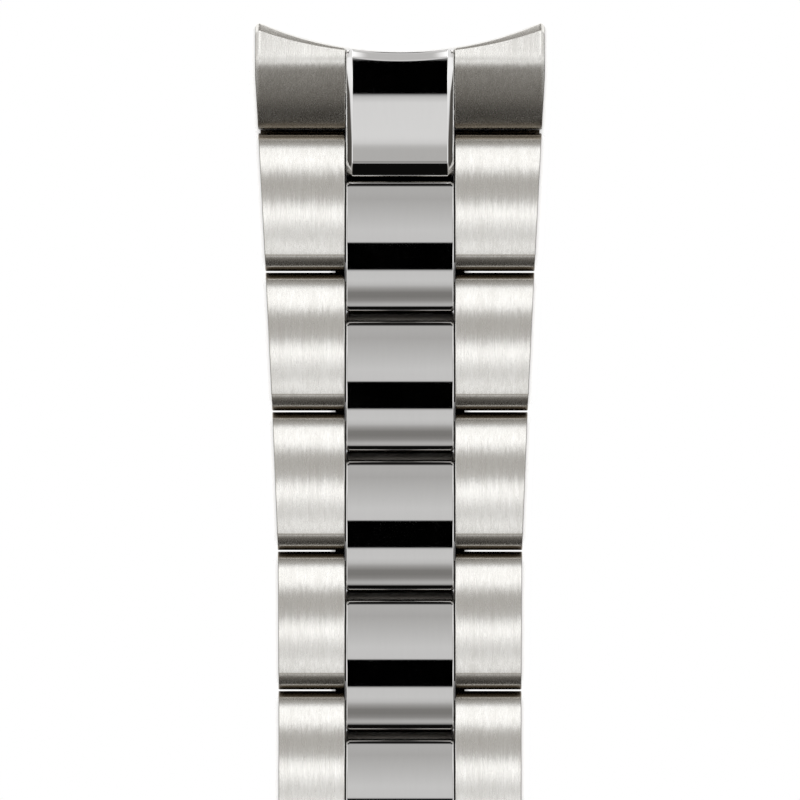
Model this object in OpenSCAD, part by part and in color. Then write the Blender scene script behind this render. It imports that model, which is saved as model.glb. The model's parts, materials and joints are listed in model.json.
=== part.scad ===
// Steel watch bracelet: three-piece links, solid end links and a folding clasp with two push buttons.
// It lies as a straight strip with its show face up and its clasp closed.
// The long half, on the twelve o'clock side, points to +Y; the short half, on the six o'clock side, to -Y.
// The origin is the middle of the underside, +Z is up, and sizes are in millimetres.

/* [Strap] */
// width of an end link where it fills the gap between the lugs
lug_w = 19; // [18:0.5:22]
// width at the gap between an end link and the first row
first_w = 18.6; // [17:0.1:22]
// width of the rows next to the clasp
last_w = 15.92; // [14:0.02:20]
// number of rows over which the strap narrows
taper_rows = 3.2; // [1:0.1:5]
// how early the narrowing happens
taper_power = 1.2; // [1:0.1:2]
// distance from one row to the next
pitch = 9.14; // [6:0.02:12]
// rows on the twelve o'clock side
rows_12 = 5; // [3:1:5]
// rows on the six o'clock side
rows_6 = 4; // [3:1:4]

/* [Outer links] */
// height of every hinge axis above the underside
axis_z = 1.35; // [1.2:0.05:1.6]
// distance of a hinge axis below the gap line of its row
axis_in = 1.4; // [1.3:0.05:1.6]
// gap line to the tail of the row above it
tail_gap = 0.1; // [0.08:0.01:0.2]
// radius of the domed top of the outer links
outer_dome_r = 14; // [10:0.5:30]
// clear width between the two outer links of a row
slot_w = 7.15; // [6:0.05:9]

/* [Centre links] */
// width of a centre link
center_w = 6.95; // [5:0.05:8.5]
// gap line to the upper end of a centre link
center_start = 3.21; // [3:0.01:3.6]
// reach of the tongue past its hinge axis
tongue_reach = 1.25; // [1:0.05:1.3]
// highest point of a centre link
center_top = 3.35; // [3:0.05:4]
// radius of the domed top of the centre links
center_dome_r = 14; // [10:0.5:30]
// rounding of the two cross edges
center_edge_r = 0.35; // [0.2:0.05:0.6]
// bevel along the two long edges
center_bevel = 0.16; // [0.05:0.01:0.4]

/* [Pins] */
// radius of the hinge pins of the rows
pivot_r = 0.55; // [0.4:0.05:0.7]
// radius of the pins that fix the centre links
fix_r = 0.5; // [0.4:0.05:0.7]
// distance of the fixing pin below the gap line
fix_at = 6.2; // [5:0.1:7]
// radial clearance of everything that turns on a pin
run_gap = 0.04; // [0.02:0.01:0.08]
// how far a pin's end lies inside the surface
pin_inset = 0.06; // [0.02:0.01:0.2]

/* [End links] */
// radius of the hollow end that meets the watch case
case_r = 23.2; // [18:0.1:26]
// depth of an end link at its middle, from the gap line to the case
end_depth = 5.22; // [4:0.02:8]
// depth of an end link at its two horns
horn_depth = 7.14; // [6:0.02:10]
// where the sides reach the full lug width, above the gap line
side_full_at = 3.6; // [1:0.1:5]
// radius of the domed top of the two wings
wing_dome_r = 15.3; // [12:0.1:30]
// rounding radius of the wings' lower end
wing_end_r = 1.2; // [1:0.05:1.35]
// slope of the wings where they meet their lower end, degrees
wing_slope = 25; // [10:1:30]
// highest point of the raised centre piece
insert_top = 4.05; // [3.5:0.05:5]
// radius of the domed top of the centre piece
insert_dome_r = 17.6; // [14:0.1:30]
// distance of the centre piece's crest above the gap line
insert_crest = 4.9; // [3:0.1:5.2]
// bevel along the centre piece's long edges
insert_bevel = 0.42; // [0.1:0.02:0.6]
// reach of the centre piece's round tongue past its hinge axis
insert_reach = 1.72; // [1.5:0.01:1.76]
// gap line to the bridge that joins the two wings below the centre piece
bridge_at = 2.45; // [2:0.05:3]
// height of the bridge
bridge_top = 2.6; // [2.5:0.05:3]
// radius of the bore for the spring bar between the lugs
lug_bore_r = 0.9; // [0.7:0.05:1]
// distance of that bore above the gap line
lug_bore_at = 3.6; // [3:0.05:4]
// height of that bore above the underside
lug_bore_z = 1.45; // [1.2:0.05:1.8]
// height at which the bevel along the hollow end starts
rim_z = 3.55; // [3:0.05:4]

/* [Clasp cover] */
// radius of the clasp's curve, taken at its underside
arc_r = 90; // [60:1:150]
// half of the curved distance between the two end pins of the closed clasp
half_span = 19.55; // [18:0.05:24]
// half length of the cover
cover_half = 20.7; // [19:0.05:24]
// width of the cover
cover_w = 16; // [14:0.1:20]
// thickness of the cover's side walls
wall = 0.8; // [0.6:0.05:1.2]
// clear height under the cover's roof
roof_h = 3.65; // [3.4:0.05:4.5]
// thickness of the roof
roof = 0.8; // [0.6:0.05:1.2]
// rounding of the cover's long top edges
cover_round = 0.7; // [0.2:0.05:0.8]
// height of the lower edge of the side walls
wall_lift = 0.35; // [0.2:0.05:1]
// spacing of the adjusting holes
hole_step = 2.5; // [2:0.1:4]
// number of adjusting holes on each side
hole_count = 3; // [2:1:4]

/* [Clasp blades] */
// width of the two folding blades
blade_w = 11; // [8:0.1:12]
// thickness of a blade
blade_t = 1; // [0.8:0.05:1.2]
// height of the outer blade above the inner one's underside
blade_lift = 1.15; // [1.1:0.05:1.4]
// curved place of the hinge between the cover and the outer blade
hinge_a_u = 11.6; // [9:0.1:13]
// height of that hinge
hinge_a_h = 2.1; // [2:0.05:2.6]
// radius of the outer blade's knuckle on that hinge
knuckle_a_r = 0.85; // [0.8:0.05:1.1]
// curved place of the hinge between the two blades
hinge_b_u = -10.45; // [-13:0.05:-8]
// height of that hinge
hinge_b_h = 1.2; // [1:0.05:1.3]
// radius of the knuckles on that hinge
knuckle_b_r = 1.05; // [0.9:0.05:1.2]
// width of the inner blade's middle knuckle
knuckle_w = 4.8; // [3:0.1:6]
// radius of the two blade hinge pins
blade_pin_r = 0.45; // [0.35:0.05:0.6]

/* [Catch and buttons] */
// curved place of the catch
catch_u = 15.65; // [14:0.05:17]
// radius of the catch post
post_r = 0.8; // [0.6:0.05:1]
// radius of the catch post's head
head_r = 1.25; // [1:0.05:1.5]
// height of the underside of the head
head_h = 2.1; // [2:0.05:2.4]
// length of a button along the cover
button_l = 3; // [2:0.1:4]
// height of a button
button_h = 1.8; // [1.4:0.1:2.2]
// how far a button stands out of the cover
button_out = 0.6; // [0.4:0.05:1]
// side gap between a hook and the post
hook_gap = 0.05; // [0.03:0.01:0.1]

/* [Adjuster and spring bar] */
// curved place of the spring bar
bar_u = -16; // [-17:0.1:-14]
// radius of the spring bar's tube
tube_r = 0.6; // [0.5:0.05:0.8]
// radius of the spring bar's tips
tip_r = 0.38; // [0.3:0.02:0.5]
// width of the adjuster link
adjuster_w = 13.6; // [12:0.1:14.2]

/* [Hidden] */
$fn = 96;
brushed = [0.60, 0.59, 0.57];
polished = [0.80, 0.80, 0.80];
pin_steel = [0.68, 0.68, 0.68];
spring_steel = [0.50, 0.50, 0.52];

// angle on the clasp's curve of a curved distance from its middle
function arc_angle(u) = u / arc_r * 180 / PI;
// place and height of a point on the curve, measured from the clasp's middle
function arc_y(u, h) = (arc_r + h) * sin(arc_angle(u));
function arc_z(u, h) = (arc_r + h) * cos(arc_angle(u)) - arc_r * cos(arc_angle(half_span));

function row_count(side) = side == 12 ? rows_12 : rows_6;
function way(side) = side == 12 ? 1 : -1;
end_pin_y = arc_y(half_span, axis_z);
clasp_y = -(rows_12 - rows_6) * pitch / 2;
function gap_line(side, k) = way(side) * (end_pin_y + axis_in + (row_count(side) - k + 1) * pitch);

// half width of the strap, k rows away from the end link
function narrowing(k) = pow(max(0, 1 - k / taper_rows), taper_power);
function half_w(k) = (last_w + (first_w - last_w) * narrowing(k)) / 2;
function half_at(k, s) = half_w(k - 1) + (half_w(k) - half_w(k - 1)) * s / pitch;

cove_r = center_start - axis_in;
tail_y = tail_gap + axis_z - pitch;
arc_case_y = end_depth + case_r;
cover_in = cover_w / 2 - wall;
bar_y = arc_y(bar_u, axis_z);
bar_z = arc_z(bar_u, axis_z);

function part_names(side, k) = [
    for (p = ["outer_left", "outer_right", "center", "pins"]) str("link_", side, "_", k, "_", p)
];

// puts a row's own frame in place: its gap line is y = 0 and its end link lies towards +y
module place(side, k) {
    translate([0, clasp_y + gap_line(side, k), 0])
        mirror([0, side == 12 ? 0 : 1, 0])
            children();
}

// side view drawn in y and z, drawn out from x0 to x1
module side_solid(x0, x1) {
    translate([x0, 0, 0])
        rotate([90, 0, 90])
            linear_extrude(height = x1 - x0)
                children();
}

// round bar across the strap
module cross_bar(y, z, r, x0, x1) {
    translate([x0, y, z])
        rotate([0, 90, 0])
            cylinder(r = r, h = x1 - x0);
}

// disc across the strap with a bevelled rim
module rim_disc(y, z, r, w, bevel) {
    translate([0, y, z])
        rotate([0, 90, 0])
            rotate_extrude()
                polygon([
                    [0, -w / 2], [r - bevel, -w / 2], [r, bevel - w / 2],
                    [r, w / 2 - bevel], [r - bevel, w / 2], [0, w / 2]
                ]);
}

// wedge that holds the part of a dome between two round ends, from its centre line down to z_low
module dome_wedge(y_hi, y_lo, z, r, big, z_low) {
    half = (y_hi - y_lo) / 2;
    lean = half / (big - r);
    rise = sqrt(1 - lean * lean);
    reach = r + 1;
    polygon([
        [y_hi, z_low], [y_hi, z], [y_hi + lean * reach, z + rise * reach],
        [y_lo - lean * reach, z + rise * reach], [y_lo, z], [y_lo, z_low]
    ]);
}

function dome_center(y_hi, y_lo, z, r, big) = z - sqrt(pow(big - r, 2) - pow((y_hi - y_lo) / 2, 2));

// side view of an outer link: a flat underside, two round ends and a dome that meets them smoothly
module outer_profile(y_hi, y_lo) {
    translate([y_hi, axis_z])
        circle(r = axis_z);
    translate([y_lo, axis_z])
        circle(r = axis_z);
    intersection() {
        translate([(y_hi + y_lo) / 2, dome_center(y_hi, y_lo, axis_z, axis_z, outer_dome_r)])
            circle(r = outer_dome_r);
        dome_wedge(y_hi, y_lo, axis_z, axis_z, outer_dome_r, 0);
    }
}

module outer_link(side, k, hand) {
    color(brushed)
        place(side, k)
            difference() {
                intersection() {
                    side_solid(-lug_w / 2, lug_w / 2)
                        outer_profile(-axis_in, tail_y);
                    translate([0, 0, -1])
                        linear_extrude(height = 6)
                            polygon([
                                [hand * slot_w / 2, 1], [hand * half_at(k, -1), 1],
                                [hand * half_at(k, pitch + 1), -pitch - 1], [hand * slot_w / 2, -pitch - 1]
                            ]);
                }
                cross_bar(-axis_in, axis_z, pivot_r, -lug_w, lug_w);
                cross_bar(-fix_at, axis_z, fix_r, -lug_w, lug_w);
            }
}

// cutter that bevels the two long edges of a dome
module bevel_rings(y, z, r, w, bevel) {
    over = 0.4;
    for (hand = [0, 1]) {
        translate([0, y, z])
            mirror([hand, 0, 0])
                rotate([0, 90, 0])
                    rotate_extrude()
                        polygon([
                            [r - bevel - over, w / 2 + over], [r + over, w / 2 - bevel - over],
                            [r + over, w / 2 + over]
                        ]);
    }
}

// side view of a centre link: a dome between two small round edges, over a block with a round tongue
module center_profile(y_hi, y_lo, y_axis, z_end) {
    r = center_edge_r;
    for (y = [y_hi, y_lo]) {
        translate([y, z_end])
            circle(r = r);
    }
    intersection() {
        translate([(y_hi + y_lo) / 2, center_top - center_dome_r])
            circle(r = center_dome_r);
        dome_wedge(y_hi, y_lo, z_end, r, center_dome_r, 1);
    }
    polygon([
        [-axis_in - 1, 0], [-axis_in - 1, axis_z], [y_hi + r, axis_z], [y_hi + r, z_end],
        [y_lo - r, z_end], [y_lo - r, axis_z], [y_axis, axis_z - tongue_reach], [y_axis + 1, 0]
    ]);
    translate([y_axis, axis_z])
        circle(r = tongue_reach);
}

module center_link(side, k) {
    y_axis = -pitch - axis_in;
    y_hi = -center_start - center_edge_r;
    y_lo = y_axis - tongue_reach + center_edge_r;
    z_mid = center_top - center_dome_r;
    z_end = z_mid + sqrt(pow(center_dome_r - center_edge_r, 2) - pow((y_hi - y_lo) / 2, 2));
    color(polished)
        place(side, k)
            difference() {
                side_solid(-center_w / 2, center_w / 2)
                    center_profile(y_hi, y_lo, y_axis, z_end);
                bevel_rings((y_hi + y_lo) / 2, z_mid, center_dome_r, center_w, center_bevel);
                cross_bar(-axis_in, axis_z, cove_r, -center_w, center_w);
                cross_bar(y_axis, axis_z, pivot_r + run_gap, -center_w, center_w);
                cross_bar(-fix_at, axis_z, fix_r, -center_w, center_w);
            }
}

// the hinge pin and the fixing pin of a row, two separate pins
module link_pins(side, k) {
    pivot_half = half_at(k, axis_in) - pin_inset;
    fix_half = half_at(k, fix_at) - pin_inset;
    color(pin_steel)
        place(side, k) {
            cross_bar(-axis_in, axis_z, pivot_r, -pivot_half, pivot_half);
            cross_bar(-fix_at, axis_z, fix_r, -fix_half, fix_half);
        }
}

// side view of the wings: a dome that falls from the case to a round lower end
module wing_profile() {
    y = tail_gap + wing_end_r;
    z = wing_end_r;
    reach = wing_dome_r - wing_end_r;
    translate([y, z])
        circle(r = wing_end_r);
    intersection() {
        translate([y + reach * sin(wing_slope), z - reach * cos(wing_slope)])
            circle(r = wing_dome_r);
        polygon([
            [y, 0], [y, z], [y - 2 * sin(wing_slope), z + 2 * cos(wing_slope)],
            [horn_depth + 1, 7], [horn_depth + 1, 0]
        ]);
    }
}

// plan of an end link before the hollow for the case is cut
module end_plan() {
    side_x = lug_w / 2;
    clip = 0.3;
    polygon([
        [-first_w / 2, 0], [first_w / 2, 0], [side_x, side_full_at], [side_x, horn_depth - clip],
        [side_x - clip, horn_depth], [clip - side_x, horn_depth], [-side_x, horn_depth - clip],
        [-side_x, side_full_at]
    ]);
}

// the hollow that fits the round watch case, with the bevel along its upper edge
module case_hollow() {
    translate([0, arc_case_y, -1])
        cylinder(r = case_r, h = 8);
    translate([0, arc_case_y, rim_z])
        cylinder(r1 = case_r, r2 = case_r + 1.5, h = 1.5);
}

module end_link_body(side) {
    color(brushed)
        place(side, 1)
            difference() {
                intersection() {
                    side_solid(-lug_w, lug_w)
                        wing_profile();
                    translate([0, 0, -1])
                        linear_extrude(height = 8)
                            end_plan();
                }
                translate([-slot_w / 2, -1, -1])
                    cube([slot_w, bridge_at + 1, 8]);
                translate([-slot_w / 2, -1, bridge_top])
                    cube([slot_w, horn_depth + 2, 6]);
                case_hollow();
                cross_bar(lug_bore_at, lug_bore_z, lug_bore_r, -lug_w, lug_w);
                cross_bar(tail_gap + wing_end_r, wing_end_r, fix_r, -lug_w, lug_w);
            }
}

module end_link_center(side) {
    foot = axis_z - tongue_reach;
    color(polished)
        place(side, 1)
            difference() {
                intersection() {
                    rim_disc(insert_crest, insert_top - insert_dome_r, insert_dome_r, center_w, insert_bevel);
                    union() {
                        rim_disc(-axis_in, axis_z, insert_reach, center_w, insert_bevel);
                        side_solid(-center_w / 2, center_w / 2)
                            polygon([
                                [-axis_in, foot], [-axis_in, 6], [horn_depth, 6], [horn_depth, bridge_top + 0.05],
                                [bridge_at - 0.1, bridge_top + 0.05], [bridge_at - 0.1, foot]
                            ]);
                    }
                }
                translate([-center_w, -axis_in - 3, -1])
                    cube([2 * center_w, 6, 1 + foot]);
                case_hollow();
                cross_bar(-axis_in, axis_z, pivot_r + run_gap, -center_w, center_w);
                cross_bar(tail_gap + wing_end_r, wing_end_r, fix_r, -center_w, center_w);
            }
}

// the pin that fixes an end link's centre piece between its wings
module end_link_pin(side) {
    y = tail_gap + wing_end_r;
    half = (first_w + (lug_w - first_w) * y / side_full_at) / 2 - pin_inset;
    color(pin_steel)
        place(side, 1)
            cross_bar(y, wing_end_r, fix_r, -half, half);
}

// turns a profile, drawn as radius and width, along the clasp's curve
module arc_sweep(u0, u1) {
    translate([0, clasp_y, -arc_r * cos(arc_angle(half_span))])
        rotate([0, -90, 0])
            rotate([0, 0, arc_angle(u0)])
                rotate_extrude(angle = arc_angle(u1 - u0))
                    children();
}

// a frame on the clasp's curve: x across, y along the curve and z away from the wrist
module at_arc(u, h) {
    translate([0, clasp_y + arc_y(u, h), arc_z(u, h)])
        rotate([-arc_angle(u), 0, 0])
            children();
}

module arc_bar(u, h, r, x0, x1) {
    at_arc(u, h)
        cross_bar(0, 0, r, x0, x1);
}

// rectangle with round corners, centred
module round_rect(w, h, r) {
    square([w - 2 * r, h], center = true);
    square([w, h - 2 * r], center = true);
    for (x = [-1, 1]) {
        for (y = [-1, 1]) {
            translate([x * (w / 2 - r), y * (h / 2 - r)])
                circle(r = r);
        }
    }
}

// section of the cover: a roof with two side walls
module cover_section() {
    top = arc_r + roof_h + roof;
    low = arc_r + wall_lift;
    difference() {
        union() {
            translate([low, -cover_w / 2])
                square([top - cover_round - low, cover_w]);
            translate([low, cover_round - cover_w / 2])
                square([top - low, cover_w - 2 * cover_round]);
            for (x = [-1, 1]) {
                translate([top - cover_round, x * (cover_w / 2 - cover_round)])
                    circle(r = cover_round);
            }
        }
        translate([low - 1, -cover_in])
            square([arc_r + roof_h - low + 1, 2 * cover_in]);
    }
}

// side view of the cover's length: upright ends with their lower corners cut back
module cover_length() {
    cut = 0.8;
    polygon([
        [clasp_y - cover_half, 0.9], [clasp_y - cover_half + cut, -1], [clasp_y + cover_half - cut, -1],
        [clasp_y + cover_half, 0.9], [clasp_y + cover_half, 9], [clasp_y - cover_half, 9]
    ]);
}

module clasp_cover() {
    stop_x = 3;
    stop_t = 0.6;
    stop_low = 1.3;
    color(brushed) {
        difference() {
            intersection() {
                arc_sweep(-cover_half - 1, cover_half + 1)
                    cover_section();
                side_solid(-cover_w, cover_w)
                    cover_length();
            }
            arc_bar(hinge_a_u, hinge_a_h, blade_pin_r, -cover_w, cover_w);
            for (i = [0:hole_count - 1]) {
                arc_bar(bar_u + (1 - i) * hole_step, axis_z, tip_r + 0.07, -cover_w, cover_w);
            }
            at_arc(catch_u, 1 + button_h / 2)
                cube([2 * cover_w, button_l + 0.12, button_h + 0.12], center = true);
        }
        for (hand = [-1, 1]) {
            at_arc(catch_u, 0)
                translate([hand * (stop_x + stop_t / 2), 0, (stop_low + roof_h + 0.2) / 2])
                    cube([stop_t, 2.2, roof_h + 0.2 - stop_low], center = true);
        }
    }
}

module blade_outer() {
    knuckle_half = blade_w / 2 - 0.1;
    color(brushed)
        difference() {
            union() {
                arc_sweep(hinge_b_u + 0.35, hinge_a_u - 0.3)
                    translate([arc_r + blade_lift, -blade_w / 2])
                        square([blade_t, blade_w]);
                arc_bar(hinge_a_u, hinge_a_h, knuckle_a_r, -knuckle_half, knuckle_half);
                arc_bar(hinge_b_u, hinge_b_h, knuckle_b_r, -knuckle_half, knuckle_half);
            }
            arc_bar(hinge_b_u, hinge_b_h, knuckle_b_r + 0.12, -knuckle_w / 2 - 0.1, knuckle_w / 2 + 0.1);
            arc_bar(hinge_a_u, hinge_a_h, blade_pin_r + run_gap, -blade_w, blade_w);
            arc_bar(hinge_b_u, hinge_b_h, blade_pin_r, -blade_w, blade_w);
        }
}

module blade_inner() {
    lug_r = 1.22;
    lug_t = 1.85;
    color(brushed)
        difference() {
            union() {
                arc_sweep(hinge_b_u + 0.35, half_span - 0.3)
                    translate([arc_r, -blade_w / 2])
                        square([blade_t, blade_w]);
                arc_bar(hinge_b_u, hinge_b_h, knuckle_b_r, -knuckle_w / 2, knuckle_w / 2);
                for (hand = [-1, 1]) {
                    arc_bar(half_span, axis_z, lug_r,
                        hand * (slot_w + lug_t) / 2 - lug_t / 2, hand * (slot_w + lug_t) / 2 + lug_t / 2);
                }
            }
            for (hand = [-1, 1]) {
                arc_bar(hinge_b_u, hinge_b_h, knuckle_b_r + 0.12,
                    hand * (knuckle_w / 2 + 2.5) - 2.5, hand * (knuckle_w / 2 + 2.5) + 2.5);
            }
            arc_bar(half_span, axis_z, cove_r, -slot_w / 2, slot_w / 2);
            arc_bar(hinge_b_u, hinge_b_h, blade_pin_r + run_gap, -blade_w, blade_w);
            arc_bar(half_span, axis_z, pivot_r, -blade_w, blade_w);
            at_arc(catch_u, -1)
                cylinder(r = post_r, h = 4);
        }
}

module cover_hinge_pin() {
    color(pin_steel)
        arc_bar(hinge_a_u, hinge_a_h, blade_pin_r, pin_inset - cover_w / 2, cover_w / 2 - pin_inset);
}

module blade_hinge_pin() {
    color(pin_steel)
        arc_bar(hinge_b_u, hinge_b_h, blade_pin_r, pin_inset - blade_w / 2, blade_w / 2 - pin_inset);
}

module blade_end_pin() {
    half = slot_w / 2 + 1.85 - pin_inset;
    color(pin_steel)
        arc_bar(half_span, axis_z, pivot_r, -half, half);
}

// post with a mushroom head, riveted through the inner blade
module catch_post() {
    neck = head_h - 0.05;
    head_t = 0.65;
    color(polished)
        at_arc(catch_u, 0)
            rotate_extrude()
                polygon([
                    [0, 0.02], [post_r, 0.02], [post_r, neck], [head_r, head_h],
                    [head_r, head_h + head_t - 0.3], [head_r - 0.3, head_h + head_t], [0, head_h + head_t]
                ]);
}

// button, flange, arm and hook in one piece; pushed in, its hook leaves the head from the far side
module push_button(hand) {
    outer_x = cover_w / 2 + button_out;
    flange_out = cover_in - 0.08;
    flange_in = flange_out - 0.5;
    arm_y = 1.35;
    arm_w = 0.7;
    arm_low = 1.35;
    arm_t = 0.65;
    hook_x = post_r + hook_gap;
    hook_far = 2.3;
    color(polished)
        at_arc(catch_u, 0)
            rotate([0, 0, hand < 0 ? 0 : 180]) {
                translate([0, 0, 1 + button_h / 2])
                    side_solid(-outer_x, -flange_out + 0.02)
                        round_rect(button_l, button_h, 0.4);
                translate([0, 0, 1.95])
                    side_solid(-flange_out, -flange_in)
                        round_rect(4.2, 1.7, 0.3);
                translate([0, 0, arm_low])
                    linear_extrude(height = arm_t)
                        polygon([
                            [-flange_in - 0.1, arm_y], [hook_x, arm_y], [hook_x, 0.1], [hook_far, 0.1],
                            [hook_far, arm_y + arm_w], [-flange_in - 0.1, arm_y + arm_w]
                        ]);
            }
}

// end view of a coil: part of a ring that is turned as it is drawn out
module coil_section(r, wire, span) {
    steps = 6;
    polygon([
        for (i = [0:steps]) (r + wire / 2) * [cos(i * span / steps), sin(i * span / steps)],
        for (i = [steps:-1:0]) (r - wire / 2) * [cos(i * span / steps), sin(i * span / steps)]
    ]);
}

// coil spring along x from x0 to x1
module coil(x0, x1, r, wire, turns) {
    translate([x0, 0, 0])
        rotate([0, 90, 0])
            linear_extrude(height = x1 - x0, twist = -360 * turns, slices = 12 * turns, $fn = 18)
                coil_section(r, wire, 150);
}

module button_spring(hand) {
    color(spring_steel)
        at_arc(catch_u, 1.95)
            rotate([0, 0, hand < 0 ? 0 : 180])
                coil(-cover_in + 0.63, -3.65, 0.45, 0.16, 5);
}

module adjuster_link() {
    bar_end_r = 1.25;
    pin_end_r = 1.3;
    run_y = bar_y + end_pin_y;
    run_z = bar_z - axis_z;
    run = sqrt(run_y * run_y + run_z * run_z);
    n = [-run_z / run, run_y / run];
    bar = [bar_y, bar_z];
    pin = [-end_pin_y, axis_z];
    color(brushed)
        translate([0, clasp_y, 0])
            difference() {
                side_solid(-adjuster_w / 2, adjuster_w / 2) {
                    translate(bar)
                        circle(r = bar_end_r);
                    translate(pin)
                        circle(r = pin_end_r);
                    polygon([
                        bar + n * bar_end_r, pin + n * pin_end_r, pin - n * pin_end_r, bar - n * bar_end_r
                    ]);
                }
                cross_bar(-end_pin_y, axis_z, cove_r, -slot_w / 2, slot_w / 2);
                translate([-slot_w / 2, -end_pin_y - 3, -1])
                    cube([slot_w, 3, 6]);
                cross_bar(bar_y, bar_z, tube_r + 0.05, -lug_w, lug_w);
                cross_bar(-end_pin_y, axis_z, pivot_r, -lug_w, lug_w);
            }
}

module adjuster_pin() {
    half = adjuster_w / 2 - pin_inset;
    color(pin_steel)
        translate([0, clasp_y, 0])
            cross_bar(-end_pin_y, axis_z, pivot_r, -half, half);
}

module bar_tube() {
    half = adjuster_w / 2 - 0.1;
    color(pin_steel)
        translate([0, clasp_y, 0])
            difference() {
                cross_bar(bar_y, bar_z, tube_r, -half, half);
                cross_bar(bar_y, bar_z, tip_r + run_gap, -lug_w, lug_w);
            }
}

module bar_tip(hand) {
    tip_l = 3.3;
    mid = hand * (cover_w / 2 - 0.1 - tip_l / 2);
    color(pin_steel)
        translate([0, clasp_y, 0])
            cross_bar(bar_y, bar_z, tip_r, mid - tip_l / 2, mid + tip_l / 2);
}

module bar_spring() {
    half = cover_w / 2 - 3.45;
    color(spring_steel)
        translate([0, clasp_y + bar_y, bar_z])
            coil(-half, half, 0.29, 0.12, 10);
}

end_link_body(12);  // end_link_12_body
end_link_center(12);  // end_link_12_center
end_link_pin(12);  // end_link_12_pin
outer_link(12, 1, -1);  // link_12_1_outer_left
outer_link(12, 1, 1);  // link_12_1_outer_right
center_link(12, 1);  // link_12_1_center
link_pins(12, 1);  // link_12_1_pins
outer_link(12, 2, -1);  // link_12_2_outer_left
outer_link(12, 2, 1);  // link_12_2_outer_right
center_link(12, 2);  // link_12_2_center
link_pins(12, 2);  // link_12_2_pins
outer_link(12, 3, -1);  // link_12_3_outer_left
outer_link(12, 3, 1);  // link_12_3_outer_right
center_link(12, 3);  // link_12_3_center
link_pins(12, 3);  // link_12_3_pins
outer_link(12, 4, -1);  // link_12_4_outer_left
outer_link(12, 4, 1);  // link_12_4_outer_right
center_link(12, 4);  // link_12_4_center
link_pins(12, 4);  // link_12_4_pins
outer_link(12, 5, -1);  // link_12_5_outer_left
outer_link(12, 5, 1);  // link_12_5_outer_right
center_link(12, 5);  // link_12_5_center
link_pins(12, 5);  // link_12_5_pins
end_link_body(6);  // end_link_6_body
end_link_center(6);  // end_link_6_center
end_link_pin(6);  // end_link_6_pin
outer_link(6, 1, -1);  // link_6_1_outer_left
outer_link(6, 1, 1);  // link_6_1_outer_right
center_link(6, 1);  // link_6_1_center
link_pins(6, 1);  // link_6_1_pins
outer_link(6, 2, -1);  // link_6_2_outer_left
outer_link(6, 2, 1);  // link_6_2_outer_right
center_link(6, 2);  // link_6_2_center
link_pins(6, 2);  // link_6_2_pins
outer_link(6, 3, -1);  // link_6_3_outer_left
outer_link(6, 3, 1);  // link_6_3_outer_right
center_link(6, 3);  // link_6_3_center
link_pins(6, 3);  // link_6_3_pins
outer_link(6, 4, -1);  // link_6_4_outer_left
outer_link(6, 4, 1);  // link_6_4_outer_right
center_link(6, 4);  // link_6_4_center
link_pins(6, 4);  // link_6_4_pins
clasp_cover();
blade_outer();
blade_inner();
cover_hinge_pin();
blade_hinge_pin();
blade_end_pin();
catch_post();
push_button(-1);  // push_button_left
push_button(1);  // push_button_right
button_spring(-1);  // button_spring_left
button_spring(1);  // button_spring_right
adjuster_link();
adjuster_pin();
bar_tube();
bar_tip(-1);  // bar_tip_left
bar_tip(1);  // bar_tip_right
bar_spring();
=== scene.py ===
import json
import math

import bmesh
import bpy
import numpy as np
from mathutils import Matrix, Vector

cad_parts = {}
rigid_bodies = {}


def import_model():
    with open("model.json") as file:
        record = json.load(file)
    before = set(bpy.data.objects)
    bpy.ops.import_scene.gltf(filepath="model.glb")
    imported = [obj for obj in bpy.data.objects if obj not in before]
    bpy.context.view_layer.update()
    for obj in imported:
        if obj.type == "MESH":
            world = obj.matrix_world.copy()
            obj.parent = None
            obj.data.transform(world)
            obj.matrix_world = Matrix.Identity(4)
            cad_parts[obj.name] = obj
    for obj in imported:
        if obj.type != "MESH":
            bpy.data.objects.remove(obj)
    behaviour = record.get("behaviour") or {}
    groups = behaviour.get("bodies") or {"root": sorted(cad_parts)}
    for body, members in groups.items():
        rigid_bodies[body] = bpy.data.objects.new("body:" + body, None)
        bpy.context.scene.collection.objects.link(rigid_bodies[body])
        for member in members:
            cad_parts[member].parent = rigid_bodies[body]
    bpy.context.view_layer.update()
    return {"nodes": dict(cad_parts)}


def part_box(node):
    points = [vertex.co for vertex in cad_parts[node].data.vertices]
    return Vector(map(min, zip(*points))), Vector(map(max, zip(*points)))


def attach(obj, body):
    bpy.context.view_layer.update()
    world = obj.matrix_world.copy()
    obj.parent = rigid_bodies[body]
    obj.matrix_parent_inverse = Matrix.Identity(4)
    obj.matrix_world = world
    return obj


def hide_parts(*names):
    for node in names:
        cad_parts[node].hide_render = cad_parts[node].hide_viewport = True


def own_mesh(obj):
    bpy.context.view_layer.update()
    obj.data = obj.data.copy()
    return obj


for start_object in list(bpy.data.objects):
    bpy.data.objects.remove(start_object, do_unlink=True)

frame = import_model()

# sizes in millimetres that the solids have too: the strap
MM = 0.001
LUG_W = 19.0
FIRST_W = 18.6
LAST_W = 15.92
TAPER_ROWS = 3.2
TAPER_POWER = 1.2
PITCH = 9.14
ROWS = {12: 5, 6: 4}
WAY = {12: 1, 6: -1}
SLOT_W = 7.15
OUTER_DOME_R = 14.0
CENTER_START = 3.21
CENTER_TOP = 3.35
CENTER_DOME_R = 14.0
TONGUE_REACH = 1.25

# hinges and bores
AXIS_Z = 1.35
AXIS_IN = 1.4
PIVOT_R = 0.55
FIX_R = 0.5
FIX_AT = 6.2
RUN_GAP = 0.04
LUG_BORE_R = 0.9
LUG_BORE_AT = 3.6
LUG_BORE_Z = 1.45

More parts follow.
